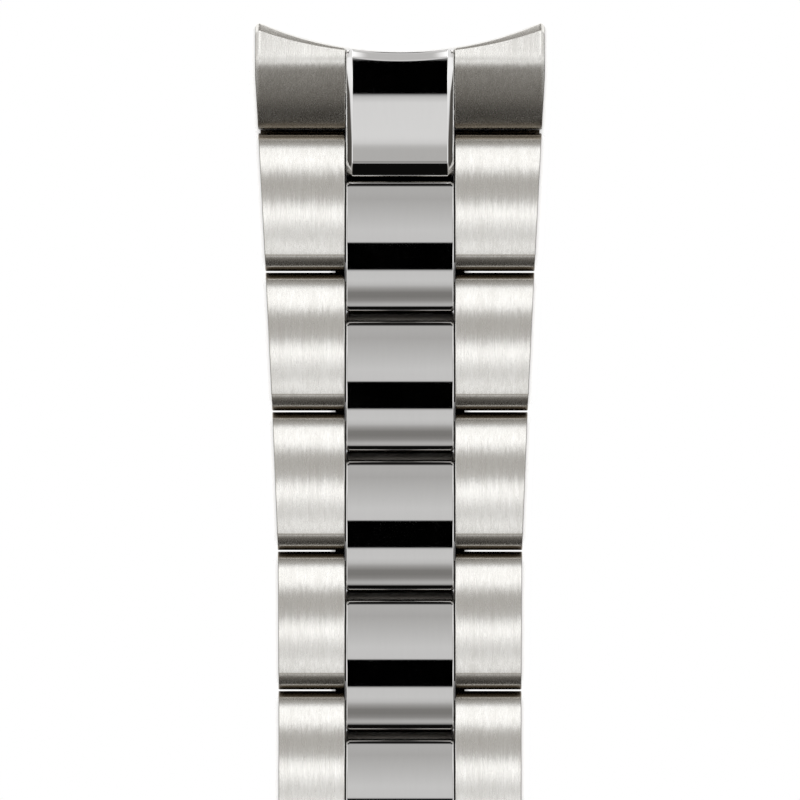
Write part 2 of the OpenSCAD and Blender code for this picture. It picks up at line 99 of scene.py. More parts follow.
# end links
CASE_R = 23.2
END_DEPTH = 5.22
HORN_DEPTH = 7.14
SIDE_FULL_AT = 3.6
TAIL_GAP = 0.1
WING_END_R = 1.2
WING_END_Y = TAIL_GAP + WING_END_R
INSERT_TOP = 4.05
INSERT_REACH = 1.72
BRIDGE_AT = 2.45
BRIDGE_TOP = 2.6

# the clasp's curve: its radius and half its length along the curve
ARC_R = 90.0
HALF_SPAN = 19.55

# y of the closed clasp's end pin from the clasp's middle, and of that middle in the frame
END_PIN_Y = (ARC_R + AXIS_Z) * math.sin(HALF_SPAN / ARC_R)
CLASP_Y = -(ROWS[12] - ROWS[6]) * PITCH / 2

# sizes in millimetres and degrees that only the skins have: x of the outer links' inner
# faces, the rounded rims on their inner and outer sides, the flat run after a rim, and the
# chamfer of the bores
SLOT_LOOK = 3.62
RIM_R = 0.07
OUTSIDE_RIM_R = 0.06
RIM_BANDS = 3
RIM_RUN = 0.02
HOLE_CHAMFER = 0.05

# the outer links' profile: its distance from both gap lines and its tighter tail
NOSE_GAP = 0.07
LINK_TAIL_GAP = 0.03
TAIL_FALL = 1.05
TAIL_TURN = 41.0
TAIL_CORNER_R = 0.85

# centre links: width, rounding of the cross edges, and the distance of the flat underside
# from the tongue's axis
CENTER_W = 7.05
CENTER_EDGE_R = 0.40
CENTER_FOOT = 1.0

# the chamfer along their sides, softened and at least so strong away from the top, and the
# rounded corners, which fade in on what faces along the strap
CENTER_BEVEL = 0.052
CENTER_SOFT = 0.014
CENTER_RUN = 0.015
BEVEL_TILT = 40.0
BEVEL_LEAST = 0.35
CENTER_CORNER = 0.2
CORNER_GAIN = 1.6
CORNER_START = 0.6

# the painted shade in the cove at their upper end, which gets darker from its foot up
COVE_TOP_Z = 2.2
COVE_DARK_Z = 0.25
COVE_DARK_RISE = 0.5

# the wings' round foot at the first row, and their top from there to the hollow end, as
# tilts at y
WING_FOOT_R = 0.35
WING_FOOT_Y = 0.18 + WING_FOOT_R
WING_HEEL_Z = 1.345
WING_START = -31.0
WING_LOW_Y = WING_FOOT_Y + WING_FOOT_R * math.sin(math.radians(WING_START))
WING_TILTS = [
    (WING_LOW_Y, WING_START), (0.6, -30.5), (1.1, -31.0), (1.35, -29.5), (2.15, -23.5),
    (3.4, -21.2), (4.1, -20.5), (4.4, -17.5), (4.65, -12.5), (4.88, -6.0), (5.12, -3.2),
    (5.6, -3.2), (7.3, -4.0),
]
WING_Z = WING_HEEL_Z + WING_FOOT_R * math.cos(math.radians(WING_START))

# the horns' rounded corners, drawn a hair short, and the bevel along the hollow end, which
# gets wider towards the horns
HORN_CORNER = 0.40
HORN_EASE = 0.999
WING_BAND = 0.16
WING_BAND_GROWTH = 0.36
WING_BAND_POWER = 1.3
WING_BAND_DROP = 0.85
WING_SOFT = 0.035
WING_CUT = 0.12

# where the loops across a wing lie: from the inner side, and from the outer one
WING_FLAT_FROM = 0.4
WING_FLAT_TO = 0.9
WING_OUTER_DEPTHS = (0.6, 0.42, 0.3, 0.25, 0.2, 0.16, 0.12, 0.09, 0.065)

# the painted shade above the wings' foot, worked out on the profile at one x for all of them
WING_SAMPLE_X = 6.5
WING_UNSHADED_Y = 3.0
WING_FOOT_SHADE = 0.9
WING_FOOT_SHADE_Y = 0.78
WING_FOOT_SHADE_FADE = 0.26

# the bridge that joins the wings
BRIDGE_OVERLAP = 0.3
BRIDGE_CUT = 0.1

# the raised centre piece: its top as tilts at y, a little below the solid's, the crease
# before the case, and the fall and the corner at its nose
INSERT_TILTS = [
    (-2.0, -11.3), (-1.1, -11.3), (-0.9, -11.0), (-0.5, -9.6), (0.2, -8.6), (2.5, -6.5),
    (2.6, -6.1), (4.6, 0.7), (5.6, 1.0),
]
INSERT_SINK = 0.005
INSERT_RIM = 0.58
INSERT_RIM_TILT = 12.5
INSERT_EDGE_R = 0.1
INSERT_EDGE_TURN = 82
INSERT_CREASE = (0.03, 0.01)
INSERT_FALL = 0.03
INSERT_FALL_TILT = 15.5
INSERT_TURN = 42.0
INSERT_CORNER_R = 0.5
INSERT_CORNER_Y = -2.97
INSERT_LEAN = 12.5

# its underside over the bridge, and the bevels along its sides
INSERT_CUT = 0.08
INSERT_BACK = BRIDGE_AT - 0.1
INSERT_SHELF_Z = BRIDGE_TOP + 0.05
INSERT_BEVEL = 0.39
INSERT_BEVEL_TILTS = (46.0, 34.0)
INSERT_SOFT = 0.012
INSERT_BEVEL_GAIN = 2
INSERT_BEVEL_SHIFT = 1.2
INSERT_HOLLOW_DROP = 0.45

# lips under the gaps, with the place of their root, and sills beside the centre links
LIP_R = 1.46
LIP_ARC = (-35, -62)
LIP_FOOT_Y = -0.70
LIP_LOW_Z = 0.02
LIP_SIDE = 0.01
LINK_LIP_ROOT = (0.30, 0.75)
LINK_LIP_W = 0.66
WING_LIP_ROOT = (0.16, 0.69)
WING_LIP_SHORT = 0.15
SILL_Z = 2.0
SILL_HIGH_Y = -0.66
SILL_LOW_Y = -8.55
SILL_INNER_T = 0.12
SILL_OUTER_T = 0.32
SILL_CLEAR = 0.012
SILL_OVERLAP = 0.03

# how the meshes are made; within NEAR of a line a point counts as on it
SAME_POINT = 1e-5
NEAR = 0.01
MITER_LEAST = 0.75
SHARP_ANGLE = 38
FACE_WEIGHT = 80
BORE_SEGMENTS = 32
BORE_UV_STEP = 0.01
UNDERSIDE_TILT = 120

# the places of a skin's materials: its surface, its inner rims with the bores, its outer rims
SURFACE, INNER_RIM, OUTER_RIM = range(3)


def gap_line(side, k):
    """y of the gap between row k and its neighbour towards the end link."""
    reach = END_PIN_Y + AXIS_IN + (ROWS[side] - k + 1) * PITCH
    return CLASP_Y + WAY[side] * reach


def half_w(k):
    """Half the strap's width at the gap that follows row k; row 0 is the end link."""
    left = max(0.0, 1 - k / TAPER_ROWS)
    return (LAST_W + (FIRST_W - LAST_W) * left ** TAPER_POWER) / 2


def half_at(k, s):
    """Half the width of row k at the distance s from its gap line."""
    return half_w(k - 1) + (half_w(k) - half_w(k - 1)) * s / PITCH


# mesh tools


def arc(cy, cz, r, a0, a1, n):
    """n + 1 points of an arc in y and z, angles in degrees from +y towards +z."""
    angles = np.radians(np.linspace(a0, a1, n + 1))
    return [(cy + r * math.cos(a), cz + r * math.sin(a)) for a in angles]


def corner(y, z, tilt, y_end, turn, r, n, last=90.0):
    """A profile that falls from (y, z) to upright at y_end, last with radius r.

    tilt is its slope at the start, turn the slope where the last arc begins and last
    the slope where it stops.
    """
    joint = y_end + r * (1 - math.sin(math.radians(turn)))
    wide = (y - joint) / (math.sin(math.radians(turn)) - math.sin(math.radians(tilt)))
    cy, cz = y + wide * math.sin(math.radians(tilt)), z - wide * math.cos(math.radians(tilt))
    first = arc(cy, cz, wide, 90 + tilt, 90 + turn, n)
    z_low = first[-1][1] - r * math.cos(math.radians(turn))
    return first + arc(y_end + r, z_low, r, 90 + turn, 90 + last, n)[1:]


def clean(points):
    """The loop without points that repeat."""
    kept = []
    for p in points:
        if not kept or math.dist(p, kept[-1]) > SAME_POINT:
            kept.append(p)
    if math.dist(kept[0], kept[-1]) < SAME_POINT:
        kept.pop()
    return np.array(kept)


def normals_of(loop):
    """Outward normals of a closed loop that runs counterclockwise in y and z."""
    edge = np.roll(loop, -1, 0) - loop
    edge /= np.linalg.norm(edge, axis=1)[:, None]
    out = np.stack([edge[:, 1], -edge[:, 0]], 1)
    both = out + np.roll(out, 1, 0)
    both /= np.linalg.norm(both, axis=1)[:, None]
    miter = 1 / np.clip((both * out).sum(1), MITER_LEAST, 1)
    return both * miter[:, None]


def rim_steps(r):
    """Depth from the face and inset of a quarter round edge, from the face on."""
    turns = np.linspace(0, math.pi / 2, RIM_BANDS + 1)
    return [(r * (1 - math.cos(t)), r * (1 - math.sin(t))) for t in turns]


def gap_shade(loop, start=37.0, full=48.0, under=0.5):
    """Painted shade: 1 where a profile faces the next row, 0 on its show face, by its tilt in
    degrees.
    """
    out = normals_of(loop)
    tilt = np.degrees(np.arctan2(np.abs(out[:, 0]), out[:, 1]))
    share = np.clip((tilt - start) / (full - start), 0, 1)
    share = share * share * (3 - 2 * share)
    return np.where(tilt > UNDERSIDE_TILT, under, share)


def start_mesh():
    """An empty mesh with its layer of painted gap shade and its brushing direction."""
    bm = bmesh.new()
    bm.verts.layers.float.new("painted_shade")
    return bm, bm.loops.layers.uv.new("brush")


def new_object(bm, name, materials, body, node):
    """The finished piece, which rides its body and stands for its node."""
    for e in bm.edges:
        if len(e.link_faces) == 2 and e.calc_face_angle(0) > math.radians(SHARP_ANGLE):
            e.smooth = False
    mesh = bpy.data.meshes.new(name)
    bm.to_mesh(mesh)
    bm.free()
    for m in materials:
        mesh.materials.append(m)
    obj = bpy.data.objects.new(name, mesh)
    bpy.context.scene.collection.objects.link(obj)
    weigh = obj.modifiers.new("weighted normals", "WEIGHTED_NORMAL")
    weigh.keep_sharp = True
    weigh.weight = FACE_WEIGHT
    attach(obj, body)
    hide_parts(node)
    return obj


def placer(side, k, hand):
    """Puts a row's own frame in place: its gap line is y = 0, its end link is at +y."""
    line = gap_line(side, k)

    def place(p):
        return hand * p[0], line + WAY[side] * p[1], p[2]

    return place, WAY[side] * hand < 0


def flat_ends(x0, x1):
    """The x of a loft's first and last face where both are flat."""
    return lambda end, y: x1 if end else x0


def add_bands(grid, stations, rims, face):
    """The faces between the profile loops; the rims get materials of their own."""
    count, points = stations.shape[:2]
    middle = stations[count // 2]
    steps = np.linalg.norm(np.roll(middle, -1, 0) - middle, axis=1)
    along = np.concatenate([[0.0], np.cumsum(steps)])
    for i in range(count - 1):
        if i < rims:
            band = INNER_RIM
        elif i >= count - 1 - rims:
            band = OUTER_RIM
        else:
            band = SURFACE
        for j in range(points):
            k = (j + 1) % points
            corners = ((i, j), (i, k), (i + 1, k), (i + 1, j))
            xs = [stations[a][b][0] for a, b in corners]
            vs = (along[j], along[j + 1], along[j + 1], along[j])
            face([grid[a][b] for a, b in corners], list(zip(xs, vs)), band)


def add_bore(hole, cap_x, vert, face):
    """The wall of a bore, chamfered at both ends; returns its rings in the end faces."""
    y, z, r = hole
    rings = []
    for end, way in ((0, 1), (1, -1)):
        for grow, sink in ((HOLE_CHAMFER, 0.0), (0.0, HOLE_CHAMFER)):
            ring = []
            for s in range(BORE_SEGMENTS):
                turn = 2 * math.pi * s / BORE_SEGMENTS
                py = y + (r + grow) * math.cos(turn)
                pz = z + (r + grow) * math.sin(turn)
                ring.append(vert((cap_x(end, py) + way * sink, py, pz)))
            rings.append(ring)
    order = (rings[0], rings[1], rings[3], rings[2])
    for one, two in zip(order, order[1:]):
        for s in range(BORE_SEGMENTS):
            n = (s + 1) % BORE_SEGMENTS
            v0, v1 = s * BORE_UV_STEP, n * BORE_UV_STEP
            coords = [(0, v0), (1, v0), (1, v1), (0, v1)]
            face([one[s], two[s], two[n], one[n]], coords, INNER_RIM)
    return rings[0], rings[2]


def add_cap(bm, uv, rings, way):
    """A flat end face inside the first ring and around the others; way is 1 or -1 along x."""
    edges = []
    for ring in rings:
        edges += [bm.edges.get(pair) for pair in zip(ring, ring[1:] + ring[:1])]
    made = bmesh.ops.triangle_fill(
        bm, use_beauty=True, use_dissolve=False, edges=edges, normal=(way, 0, 0)
    )
    for f in made["geom"]:
        if isinstance(f, bmesh.types.BMFace):
            f.normal_update()
            if f.normal.x * way < 0:
                f.normal_flip()
            f.smooth = True
            for loop in f.loops:
                co = loop.vert.co
                loop[uv].uv = (co.z / MM, co.y / MM)


def add_loft(bm, uv, stations, holes, cap_x, place, flip, rims=0, painted_shade=None):
    """A closed skin over profile loops that follow each other across the strap.

    stations is an array of loops of (x, y, z); holes are (y, z, r) through both ends;
    cap_x gives the x of the first and the last end face at a y; place moves a point
    into the frame; flip is True where that mirrors it; rims is the number of bands in
    each rounded edge; the last argument says, point by point, how much painted shade the
    surface gets where it lies in the gap between two rows.
    """
    shade = bm.verts.layers.float["painted_shade"]

    def vert(p):
        return bm.verts.new([c * MM for c in place(p)])

    def face(verts, coords, material):
        if flip:
            verts = verts[::-1]
            coords = coords[::-1]
        f = bm.faces.new(verts)
        f.smooth = True
        f.material_index = material
        for loop, c in zip(f.loops, coords):
            loop[uv].uv = c

    grid = [[vert(p) for p in loop] for loop in stations]
    if painted_shade is not None:
        for ring in grid:
            for v, amount in zip(ring, painted_shade):
                v[shade] = amount
    add_bands(grid, stations, rims, face)
    bores = [add_bore(hole, cap_x, vert, face) for hole in holes]
    mirrored = place((1, 0, 0))[0] < place((0, 0, 0))[0]
    for end, way in ((0, -1), (1, 1)):
        rings = [grid[-end]] + [bore[end] for bore in bores]
        add_cap(bm, uv, rings, -way if mirrored else way)


def add_lip(bm, uv, place, flip, x0, x1, root):
    """A thin lip below the gap, concentric with the hinge, that closes it to the light; it is
    painted all over with the gap shade.
    """
    edge = arc(-AXIS_IN, AXIS_Z, LIP_R, *LIP_ARC, 8)
    loop = np.array([(LIP_FOOT_Y, LIP_LOW_Z), (root[0], LIP_LOW_Z), root] + edge)
    stations = np.array([np.column_stack([np.full(len(loop), x), loop]) for x in (x0, x1)])
    painted_shade = np.ones(len(loop))
    add_loft(bm, uv, stations, [], flat_ends(x0, x1), place, flip, painted_shade=painted_shade)


def add_sill(bm, uv, place, flip, x0, x1):
    """A sloping sill inside the slot that keeps light out of the joint beside a centre link; it
    is painted all over with the gap shade.
    """
    stations = []
    for x, top in ((x0, SILL_Z + SILL_INNER_T), (x1, SILL_Z + SILL_OUTER_T)):
        low, high = SILL_LOW_Y, SILL_HIGH_Y
        stations.append([(x, low, SILL_Z), (x, high, SILL_Z), (x, high, top), (x, low, top)])
    add_loft(
        bm, uv, np.array(stations), [], flat_ends(x0, x1), place, flip, painted_shade=np.ones(4)
    )


# materials

# repeats per millimetre, across and along the strap or the same every way
FINE_MARKS = (9.0, 0.16)
COARSE_MARKS = (1.6, 0.05)
SWAY_LINES = (7.0, 0.35)
CLOUDS = 0.35

# how the noises are mixed, and the part of their range that is used
FINE_SHARE = 0.6
COARSE_SHARE = 0.4
MARK_RANGE = (0.3, 0.7)
SWAY_RANGE = (0.25, 0.75)
CLOUD_RANGE = (0.35, 0.65)

# linear colour of the painted shade in the gaps between the rows
GAP_SHADE_COLOUR = (0.25, 0.22, 0.18)


def add_node(tree, kind, **settings):
    n = tree.nodes.new(kind)
    for key, value in settings.items():
        setattr(n, key, value)
    return n


def math_node(tree, operation, a, b=None, c=None, clamp=False):
    n = add_node(tree, "ShaderNodeMath", operation=operation, use_clamp=clamp)
    for socket, value in zip(n.inputs, (a, b, c)):
        if value is None:
            continue
        if isinstance(value, (int, float)):
            socket.default_value = value
        else:
            tree.links.new(value, socket)
    return n.outputs[0]


def range_node(tree, value, low, high, to_low, to_high, smooth=False):
    n = add_node(tree, "ShaderNodeMapRange")
    if smooth:
        n.interpolation_type = "SMOOTHSTEP"
    tree.links.new(value, n.inputs["Value"])
    limits = {"From Min": low, "From Max": high, "To Min": to_low, "To Max": to_high}
    for name, limit in limits.items():
        n.inputs[name].default_value = limit
    return n.outputs["Result"]


def mix_node(tree, share, first, second):
    """A mix of two colours, each of them a socket or a linear colour."""
    n = add_node(tree, "ShaderNodeMix", data_type="RGBA")
    tree.links.new(share, n.inputs["Factor"])
    for key, colour in (("A", first), ("B", second)):
        if isinstance(colour, tuple):
            n.inputs[key].default_value = (*colour, 1)
        else:
            tree.links.new(colour, n.inputs[key])
    return n.outputs["Result"]


def mix_shaders(tree, share, first, second):
    n = add_node(tree, "ShaderNodeMixShader")
    for socket, value in zip(n.inputs, (share, first.outputs[0], second.outputs[0])):
        tree.links.new(value, socket)
    return n.outputs[0]


def noise_node(tree, coords, scale, detail, roughness):
    n = add_node(tree, "ShaderNodeTexNoise")
    n.inputs["Scale"].default_value = scale
    n.inputs["Detail"].default_value = detail
    n.inputs["Roughness"].default_value = roughness
    tree.links.new(coords, n.inputs["Vector"])
    return n.outputs["Fac"]


def streaks(tree, coords, across, along, seed, detail=3.0):
    """Noise drawn out along y: across and along are repeats per millimetre."""
    mapping = add_node(tree, "ShaderNodeMapping")
    mapping.inputs["Scale"].default_value = (across / MM, along / MM, across / MM)
    mapping.inputs["Location"].default_value = (seed, seed * 2, seed * 3)
    tree.links.new(coords, mapping.inputs["Vector"])
    return noise_node(tree, mapping.outputs["Vector"], 1.0, detail, roughness=0.6)


def marks_of(tree, coords, fine):
    """0 to 1 over the fine and the coarse marks together."""
    thin = streaks(tree, coords, *fine, seed=3.7)
    wide = streaks(tree, coords, *COARSE_MARKS, seed=8.1, detail=2.0)
    wide = math_node(tree, "MULTIPLY", wide, COARSE_SHARE)
    both = math_node(tree, "MULTIPLY_ADD", thin, FINE_SHARE, wide)
    return range_node(tree, both, *MARK_RANGE, 0.0, 1.0)


def swaying_normal(tree, coords, sway):
    """The surface's own normal, leaning by up to sway along y from line to line."""
    facing = add_node(tree, "ShaderNodeNewGeometry").outputs["Normal"]
    line = streaks(tree, coords, *SWAY_LINES, seed=5.3, detail=2.0)
    lean = add_node(tree, "ShaderNodeCombineXYZ")
    tree.links.new(range_node(tree, line, *SWAY_RANGE, -sway, sway), lean.inputs["Y"])
    tilted = add_node(tree, "ShaderNodeVectorMath", operation="ADD")
    tree.links.new(facing, tilted.inputs[0])
    tree.links.new(lean.outputs[0], tilted.inputs[1])
    unit = add_node(tree, "ShaderNodeVectorMath", operation="NORMALIZE")
    tree.links.new(tilted.outputs[0], unit.inputs[0])
    return unit.outputs[0]


def steel(
    name, dark, light, rough, rough_spread, fine=FINE_MARKS, smudge=0.0,
    bump=0.0, bump_mm=0.002, sway=0.0, anisotropy=0.0, tangent=None,
):
    """Steel with brushed or polishing marks along y and painted shade in the gaps between the
    rows; colours are linear.
    """
    m = bpy.data.materials.new(name)
    m.use_nodes = True
    tree = m.node_tree
    shader = tree.nodes["Principled BSDF"]
    shader.inputs["Metallic"].default_value = 1.0
    shader.inputs["Anisotropic"].default_value = anisotropy
    coords = add_node(tree, "ShaderNodeTexCoord").outputs["Object"]
    mark = marks_of(tree, coords, fine)

    # painted shade: where the mesh's shade layer says so, the tone is pulled towards the gap
    # shade colour
    gap = add_node(
        tree, "ShaderNodeAttribute", attribute_type="GEOMETRY", attribute_name="painted_shade"
    )
    tone = mix_node(tree, mark, dark, light)
    shaded_tone = mix_node(tree, gap.outputs["Fac"], tone, GAP_SHADE_COLOUR)
    tree.links.new(shaded_tone, shader.inputs["Base Color"])

    spread = range_node(tree, mark, 0.0, 1.0, rough + rough_spread, rough - rough_spread)
    if smudge:
        cloud = noise_node(tree, coords, CLOUDS / MM, detail=2.0, roughness=0.5)
        soft = range_node(tree, cloud, *CLOUD_RANGE, 0.0, 1.0, smooth=True)
        spread = math_node(tree, "ADD", spread, math_node(tree, "MULTIPLY", soft, smudge))
    tree.links.new(spread, shader.inputs["Roughness"])

    if bump:
        relief = add_node(tree, "ShaderNodeBump")
        relief.inputs["Strength"].default_value = bump
        relief.inputs["Distance"].default_value = bump_mm * MM
        tree.links.new(mark, relief.inputs["Height"])
        if sway:
            tree.links.new(swaying_normal(tree, coords, sway), relief.inputs["Normal"])
        tree.links.new(relief.outputs["Normal"], shader.inputs["Normal"])
    if tangent:
        brush = add_node(tree, "ShaderNodeTangent", direction_type=tangent)
        if tangent == "UV_MAP":
            brush.uv_map = "brush"
        else:
            brush.axis = "Y"
        tree.links.new(brush.outputs["Tangent"], shader.inputs["Tangent"])
    return m


def brushed_steel(name, tangent):
    return steel(
        name, (0.72, 0.705, 0.67), (0.85, 0.84, 0.815), rough=0.27, rough_spread=0.03,
        bump=0.35, bump_mm=0.004, sway=0.012, anisotropy=1.0, tangent=tangent,
    )


def edge_steel(name, dark, light):
    """The rounded rims and the bores of the brushed pieces."""
    return steel(name, dark, light, rough=0.2, rough_spread=0.03, fine=(4.0, 0.4))


def mirror_steel(name, dark, light):
    return steel(
        name, dark, light, rough=0.022, rough_spread=0.006, fine=(5.0, 0.3), smudge=0.008
    )


BRUSHED = brushed_steel("brushed_steel_long", "UV_MAP")
BRUSHED_CAD = brushed_steel("brushed_steel_cover", "RADIAL")
EDGE = edge_steel("burnished_edge", (0.74, 0.73, 0.70), (0.86, 0.85, 0.82))
# a darker copy of the same edge steel: painted shade on the outer rims
EDGE_OUTSIDE_SHADED = edge_steel("burnished_edge_outside_painted_shade", (0.36, 0.35, 0.33), (0.46, 0.45, 0.43))
POLISHED = mirror_steel("mirror_steel", (0.735, 0.73, 0.725), (0.75, 0.745, 0.74))
# a lighter copy of the same mirror steel: painted light that makes the end links' centre pieces
# reflect brighter
POLISHED_END_LIT = mirror_steel("mirror_steel_end_link_painted_light", (0.885, 0.88, 0.875), (0.90, 0.895, 0.89))
BLADE = steel(
    "blade_steel_satin", (0.60, 0.60, 0.59), (0.74, 0.74, 0.73), rough=0.3, rough_spread=0.05,
    fine=(6.0, 0.3), bump=0.25, bump_mm=0.003, anisotropy=0.6, tangent="RADIAL",
)
PIN = steel(
    "turned_pin_steel", (0.60, 0.60, 0.60), (0.74, 0.74, 0.74), rough=0.22, rough_spread=0.04,
    fine=(5.0, 5.0), bump=0.15,
)
SPRING = steel(
    "spring_wire_steel", (0.42, 0.42, 0.44), (0.56, 0.56, 0.58), rough=0.3, rough_spread=0.05,
    fine=(6.0, 6.0),
)
BRUSHED_SET = [BRUSHED, EDGE, EDGE_OUTSIDE_SHADED]
POLISHED_SET = [POLISHED, POLISHED]
POLISHED_END_LIT_SET = [POLISHED_END_LIT, POLISHED_END_LIT]


# outer links


def outer_loop():
    """Side view of an outer link: a dome between two round ends."""
    y_hi, y_lo = -NOSE_GAP - AXIS_Z, LINK_TAIL_GAP + AXIS_Z - PITCH
    half = (y_hi - y_lo) / 2
    lean = math.degrees(math.asin(half / (OUTER_DOME_R - AXIS_Z)))
    z_dome = AXIS_Z - math.sqrt((OUTER_DOME_R - AXIS_Z) ** 2 - half ** 2)
    y_end = y_lo - AXIS_Z
    z_tail = AXIS_Z + AXIS_Z * math.cos(math.radians(lean))
    y_tail = y_end + TAIL_FALL
    return clean(
        arc(y_hi, AXIS_Z, AXIS_Z, -90, 90 - lean, 26)
        + arc((y_hi + y_lo) / 2, z_dome, OUTER_DOME_R, 90 - lean, 90 + lean, 56)
        + corner(y_tail, z_tail, lean, y_end, TAIL_TURN, TAIL_CORNER_R, 16)
        + arc(y_lo, AXIS_Z, AXIS_Z, 180, 270, 14)
    )


def make_outer(side, k, hand, name):
    loop = outer_loop()
    out = normals_of(loop)

    def inner_station(depth, inset):
        p = loop - out * inset
        return np.column_stack([np.full(len(p), SLOT_LOOK + depth), p])

    def outer_station(depth, inset):
        p = loop - out * inset
        return np.column_stack([np.array([half_at(k, -y) for y in p[:, 0]]) - depth, p])

    inner = rim_steps(RIM_R) + [(RIM_R + RIM_RUN, 0)]
    outer = [(OUTSIDE_RIM_R + RIM_RUN, 0)] + rim_steps(OUTSIDE_RIM_R)[::-1]
    stations = [inner_station(*step) for step in inner]
    stations += [outer_station(*step) for step in outer]

    def cap_x(end, y):
        return half_at(k, -y) if end else SLOT_LOOK

    bm, uv = start_mesh()
    place, flip = placer(side, k, hand)
    holes = [(-AXIS_IN, AXIS_Z, PIVOT_R), (-FIX_AT, AXIS_Z, FIX_R)]
    # painted shade on the ends that face the next rows and on the underside
    add_loft(
        bm, uv, np.array(stations), holes, cap_x, place, flip, rims=RIM_BANDS,
        painted_shade=gap_shade(loop),
    )
    add_sill(bm, uv, place, flip, CENTER_W / 2 + SILL_CLEAR, SLOT_LOOK + SILL_OVERLAP)
    if k < ROWS[side]:
        place, flip = placer(side, k + 1, hand)
        lip_x = SLOT_LOOK + LIP_SIDE, SLOT_W / 2 + LINK_LIP_W
        add_lip(bm, uv, place, flip, *lip_x, LINK_LIP_ROOT)
    body = f"link_{side}_{k}"
    new_object(bm, name + "_brushed", BRUSHED_SET, body, name)


# centre links


def chamfer_steps():
    """Depth from the face and inset of a centre link's chamfer with softened edges."""
    width, soft = CENTER_BEVEL, CENTER_SOFT
    rise = math.tan(math.radians(BEVEL_TILT))
    margin = (width - 2 * soft) / 4
    # the edge at the face, the flat between, and the edge at the top
    steps = [(0.0, width + soft), (0.4 * soft, width + 0.25 * soft), (soft, width - soft)]
    steps += [(soft + margin, width - soft - margin), (width - soft - margin, soft + margin)]
    for t in np.linspace(-1, 1, 5):
        steps.append((width + soft * t, soft * (1 - t) ** 2 / 4))
    steps.append((width + soft + CENTER_RUN, 0.0))
    return [(depth, inset * rise) for depth, inset in steps]


def center_loop():
    """Side view of a centre link: a cove, a dome and the tongue around the next hinge."""
    y_axis = -PITCH - AXIS_IN
    r = CENTER_EDGE_R
    y_hi, y_lo = -CENTER_START - r, y_axis - TONGUE_REACH + r
    z_mid = CENTER_TOP - CENTER_DOME_R
    half = (y_hi - y_lo) / 2
    lean = math.degrees(math.asin(half / (CENTER_DOME_R - r)))
    z_end = z_mid + math.sqrt((CENTER_DOME_R - r) ** 2 - half ** 2)
    cove_r = CENTER_START - AXIS_IN
    cove_end = 180 + math.degrees(math.asin(AXIS_Z / cove_r))
    return clean(
        arc(-AXIS_IN, AXIS_Z, cove_r, cove_end, 180, 14)
        + arc(y_hi, z_end, r, 0, 90 - lean, 10)
        + arc((y_hi + y_lo) / 2, z_mid, CENTER_DOME_R, 90 - lean, 90 + lean, 72)
        + arc(y_lo, z_end, r, 90 + lean, 180, 10)
        + arc(y_axis, AXIS_Z, TONGUE_REACH, 180, 270, 16)
        + [(y_axis + CENTER_FOOT, 0.0)]
    )


def center_stations(loop):
    """The loops across a centre link, with its chamfers and its rounded corners."""
    out = normals_of(loop)
    up = np.clip(out[:, 1], 0, 1)
    ends = np.clip(np.abs(out[:, 0]) * CORNER_GAIN - CORNER_START, 0, 1)
    chamfer = chamfer_steps()
    depths = {round(depth, 4) for depth, _ in chamfer}
    depths |= {round(CENTER_CORNER * share, 4) for share in (0.5, 0.7, 1.0)}
    left = []
    right = []
    for depth in sorted(depths):
        bevel = np.interp(depth, *zip(*chamfer))
        over = max(0.0, CENTER_CORNER - depth)
        rounding = CENTER_CORNER - math.sqrt(CENTER_CORNER ** 2 - over ** 2)
        inset = np.maximum(bevel * np.maximum(up, BEVEL_LEAST), rounding * ends)
        p = loop - out * inset[:, None]
        for way, kept in ((-1, left), (1, right)):
            kept.append(np.column_stack([np.full(len(p), way * (CENTER_W / 2 - depth)), p]))
    return np.array(left + right[::-1])


def make_center(side, k, name):
    loop = center_loop()
    # painted shade: the cove darkens upwards, the rest of the link where it faces the next rows
    in_cove = (loop[:, 0] > -CENTER_START - NEAR) & (loop[:, 1] < COVE_TOP_Z)
    dark = np.clip((loop[:, 1] - COVE_DARK_Z) / COVE_DARK_RISE, 0, 1)
    shade = np.where(in_cove, dark, gap_shade(loop, start=50.0, full=70.0, under=0.0))
    y_axis = -PITCH - AXIS_IN
    holes = [(y_axis, AXIS_Z, PIVOT_R + RUN_GAP), (-FIX_AT, AXIS_Z, FIX_R)]
    cap_x = flat_ends(-CENTER_W / 2, CENTER_W / 2)
    bm, uv = start_mesh()
    place, flip = placer(side, k, 1)
    add_loft(bm, uv, center_stations(loop), holes, cap_x, place, flip, painted_shade=shade)
    body = f"link_{side}_{k}"
    new_object(bm, name + "_polished", POLISHED_SET, body, name)


# end links


def case_y(x):
    """The round hollow that meets the watch case."""
    return END_DEPTH + CASE_R - math.sqrt(CASE_R ** 2 - x * x)


def slope_line(marks, z_low, n):
    """Heights along y from tilts in degrees at given places, listed from the low end up."""
    ys = np.linspace(marks[0][0], marks[-1][0], n)
    tilt = np.interp(ys, [m[0] for m in marks], [m[1] for m in marks])
    reach = 4
    width = 2 * reach + 1
    padded = np.concatenate([np.full(reach, tilt[0]), tilt, np.full(reach, tilt[-1])])
    tilt = np.convolve(padded, np.ones(width) / width, "valid")
    rise = np.tan(np.radians(-tilt))
    zs = z_low + np.concatenate([[0], np.cumsum((rise[1:] + rise[:-1]) / 2 * np.diff(ys))])
    return ys, zs


WING_YS, WING_ZS = slope_line(WING_TILTS, WING_Z, 160)
INSERT_YS, INSERT_ZS = slope_line(INSERT_TILTS, 0.0, 220)
INSERT_ZS = INSERT_ZS + INSERT_TOP - INSERT_SINK - INSERT_ZS.max()


